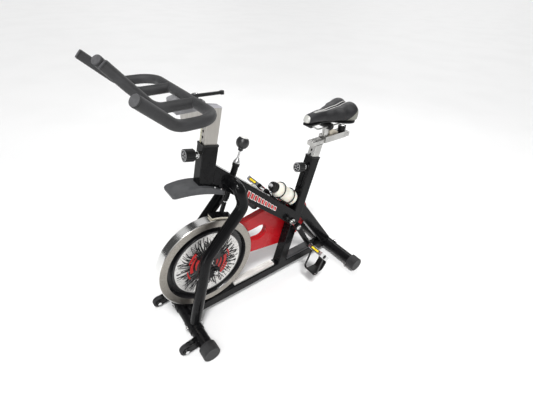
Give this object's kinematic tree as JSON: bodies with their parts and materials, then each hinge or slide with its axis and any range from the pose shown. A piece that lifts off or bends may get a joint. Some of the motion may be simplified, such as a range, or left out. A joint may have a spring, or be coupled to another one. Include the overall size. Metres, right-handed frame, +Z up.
{
  "type": "indoor spin bike",
  "caption": "Indoor spin bike: heavy flywheel in a bent fork, belt drive to cranks, post-mounted handlebar and saddle with pull-pin adjustment, push brake and transport wheels.",
  "frame": {"origin": "middle of the machine's box, on the floor", "axes": "+X forward to the handlebar, +Y to the rider's left, +Z up"},
  "size_m": [1.1006, 0.567, 1.196],
  "materials": {
    "black_paint": "gloss black powder coat",
    "rubber_grey": "satin moulded rubber",
    "steel_zinc": "zinc-plated, satin",
    "chrome_bright": "bright chrome plate",
    "brushed_post": "brushed silver",
    "tread_metal": "ribbed, satin",
    "grey_plastic": "fine moulded texture",
    "black_plastic": "fine moulded texture",
    "red_guard": "gloss red",
    "belt_rubber": "matt ribbed belt",
    "cast_wheel": "turned and plated rim",
    "disc_silver": "satin disc",
    "foam_grip": "matt foam sleeve",
    "bracket_grey": "satin grey",
    "saddle_vinyl": "grained vinyl with silver piping",
    "brake_felt": "pressed wool felt",
    "bottle_white": "translucent white, satin"
  },
  "bodies": {
    "frame": {"main_beam": "black_paint", "rear_beam": "black_paint", "head_tube": "black_paint", "seat_tube": "black_paint", "base_tube": "black_paint", "fork_tubes": "black_paint", "stabiliser_saddle_plates": "black_paint", "stabiliser_tubes": "black_paint", "stabiliser_end_caps": "rubber_grey", "frame_bolts": "steel_zinc", "transport_wheel_brackets": "black_paint", "sweat_guard": "grey_plastic", "step_plate": "tread_metal", "rear_step_cover": "grey_plastic", "axle_dropouts": "black_paint", "flywheel_axle": "steel_zinc", "axle_hardware": "chrome_bright", "bottom_bracket_shell": "black_paint", "bottom_bracket_bearings": "steel_zinc", "drive_belt": "belt_rubber", "guard_inner_shell": "red_guard", "guard_outer_shell": "red_guard", "guard_screws": "steel_zinc", "pin_barrels": "steel_zinc", "post_sleeves": "black_plastic", "brake_guide_tube": "black_paint", "bottle_cage": "black_paint"},
    "flywheel_wheel": {"flywheel": "cast_wheel", "flywheel_side_discs": "disc_silver", "flywheel_hub": "black_plastic", "flywheel_bearings": "steel_zinc"},
    "crankset": {"crank_axle": "steel_zinc", "crank_arms": "black_paint", "crank_hardware": "chrome_bright", "chainring": "black_paint"},
    "left_pedal": {"pedal_left": "chrome_bright", "toe_cage_left": "black_plastic"},
    "right_pedal": {"pedal_right": "chrome_bright", "toe_cage_right": "black_plastic"},
    "left_transport_wheel": {"transport_wheel_left": "black_plastic"},
    "right_transport_wheel": {"transport_wheel_right": "black_plastic"},
    "handlebar_column": {"handlebar_post": "brushed_post"},
    "handlebar_assembly": {"handlebar": "foam_grip", "handlebar_bracket": "bracket_grey"},
    "handlebar_lever": {"clamp_lever": "black_plastic"},
    "head_pin": {"head_pin_knob": "black_plastic"},
    "seat_pin": {"seat_pin_knob": "black_plastic"},
    "seat_column": {"seat_post": "chrome_bright"},
    "saddle_carriage": {"saddle_slider": "chrome_bright"},
    "carriage_knob": {"slider_knob": "black_plastic"},
    "saddle": {"saddle_clamp": "black_plastic", "saddle_rails": "steel_zinc", "saddle_shell": "black_plastic", "saddle_cover": "saddle_vinyl"},
    "brake_rod": {"brake_plunger": "steel_zinc"},
    "brake_ball": {"brake_knob": "black_plastic"},
    "brake_block": {"brake_shoe": "black_paint", "brake_pad": "brake_felt"},
    "drink_bottle": {"bottle": "bottle_white"}
  },
  "joints": [
    {"name": "flywheel_spin", "type": "hinge", "parent": "frame", "child": "flywheel_wheel", "pos_m": [0.2911, 0, 0.325], "axis": [0, 1, 0], "continuous": true},
    {"name": "crank_spin", "type": "hinge", "parent": "frame", "child": "crankset", "pos_m": [-0.1819, 0, 0.353], "axis": [0, 1, 0], "continuous": true},
    {"name": "left_pedal_spin", "type": "hinge", "parent": "crankset", "child": "left_pedal", "pos_m": [-0.26754, 0.16, 0.20039], "axis": [0, 1, 0], "continuous": true},
    {"name": "right_pedal_spin", "type": "hinge", "parent": "crankset", "child": "right_pedal", "pos_m": [-0.09626, -0.16, 0.50561], "axis": [0, 1, 0], "continuous": true},
    {"name": "left_transport_wheel_spin", "type": "hinge", "parent": "frame", "child": "left_transport_wheel", "pos_m": [0.4971, 0.155, 0.034], "axis": [0, 1, 0], "continuous": true},
    {"name": "right_transport_wheel_spin", "type": "hinge", "parent": "frame", "child": "right_transport_wheel", "pos_m": [0.4971, -0.155, 0.034], "axis": [0, 1, 0], "continuous": true},
    {"name": "handlebar_height", "type": "slide", "parent": "frame", "child": "handlebar_column", "axis": [-0.2079, 0, 0.9781], "range_m": [-0.07, 0.04]},
    {"name": "handlebar_fore_aft", "type": "slide", "parent": "handlebar_column", "child": "handlebar_assembly", "axis": [1, 0, 0], "range_m": [0, 0.02]},
    {"name": "handlebar_lever_turn", "type": "hinge", "parent": "handlebar_column", "child": "handlebar_lever", "pos_m": [0.2771, 0, 1.053], "axis": [0, 0, 1], "range_deg": [-60, 60]},
    {"name": "head_pin_pull", "type": "slide", "parent": "frame", "child": "head_pin", "axis": [0.9781, 0, 0.2079], "range_m": [0, 0.012], "stiffness_N_per_m": 900, "springref_m": -0.004},
    {"name": "seat_pin_pull", "type": "slide", "parent": "frame", "child": "seat_pin", "axis": [0.965, 0, 0.2622], "range_m": [0, 0.012], "stiffness_N_per_m": 900, "springref_m": -0.004},
    {"name": "seat_height", "type": "slide", "parent": "frame", "child": "seat_column", "axis": [-0.2622, 0, 0.965], "range_m": [-0.045, 0.06]},
    {"name": "saddle_fore_aft", "type": "slide", "parent": "seat_column", "child": "saddle_carriage", "axis": [1, 0, 0], "range_m": [-0.025, 0.045]},
    {"name": "carriage_knob_turn", "type": "hinge", "parent": "saddle_carriage", "child": "carriage_knob", "pos_m": [-0.4769, 0, 0.788], "axis": [0, 0, 1], "range_deg": [-180, 180]},
    {"name": "saddle_tilt", "type": "hinge", "parent": "saddle_carriage", "child": "saddle", "pos_m": [-0.3639, 0, 0.826], "axis": [0, 1, 0], "range_deg": [-6, 6]},
    {"name": "brake_push", "type": "slide", "parent": "frame", "child": "brake_rod", "axis": [-0.3502, 0, 0.9367], "range_m": [-0.0024, 0], "stiffness_N_per_m": 3000, "springref_m": 0.008},
    {"name": "brake_knob_turn", "type": "hinge", "parent": "brake_rod", "child": "brake_ball", "pos_m": [0.13001, 0, 0.75587], "axis": [-0.3502, 0, 0.9367], "range_deg": [-360, 360]},
    {"name": "brake_resistance_travel", "type": "slide", "parent": "brake_rod", "child": "brake_block", "axis": [-0.3502, 0, 0.9367], "range_m": [-0.00124, 0.00124]},
    {"name": "bottle_lift", "type": "slide", "parent": "frame", "child": "drink_bottle", "axis": [0.7431, 0, 0.6691], "range_m": [0, 0.02]}
  ],
  "couplings": [
    {"joint": "crank_spin", "follows": "flywheel_spin", "ratio": 0.34091},
    {"joint": "brake_knob_turn", "follows": "brake_resistance_travel", "rad_per_m": -5026.5}
  ]
}
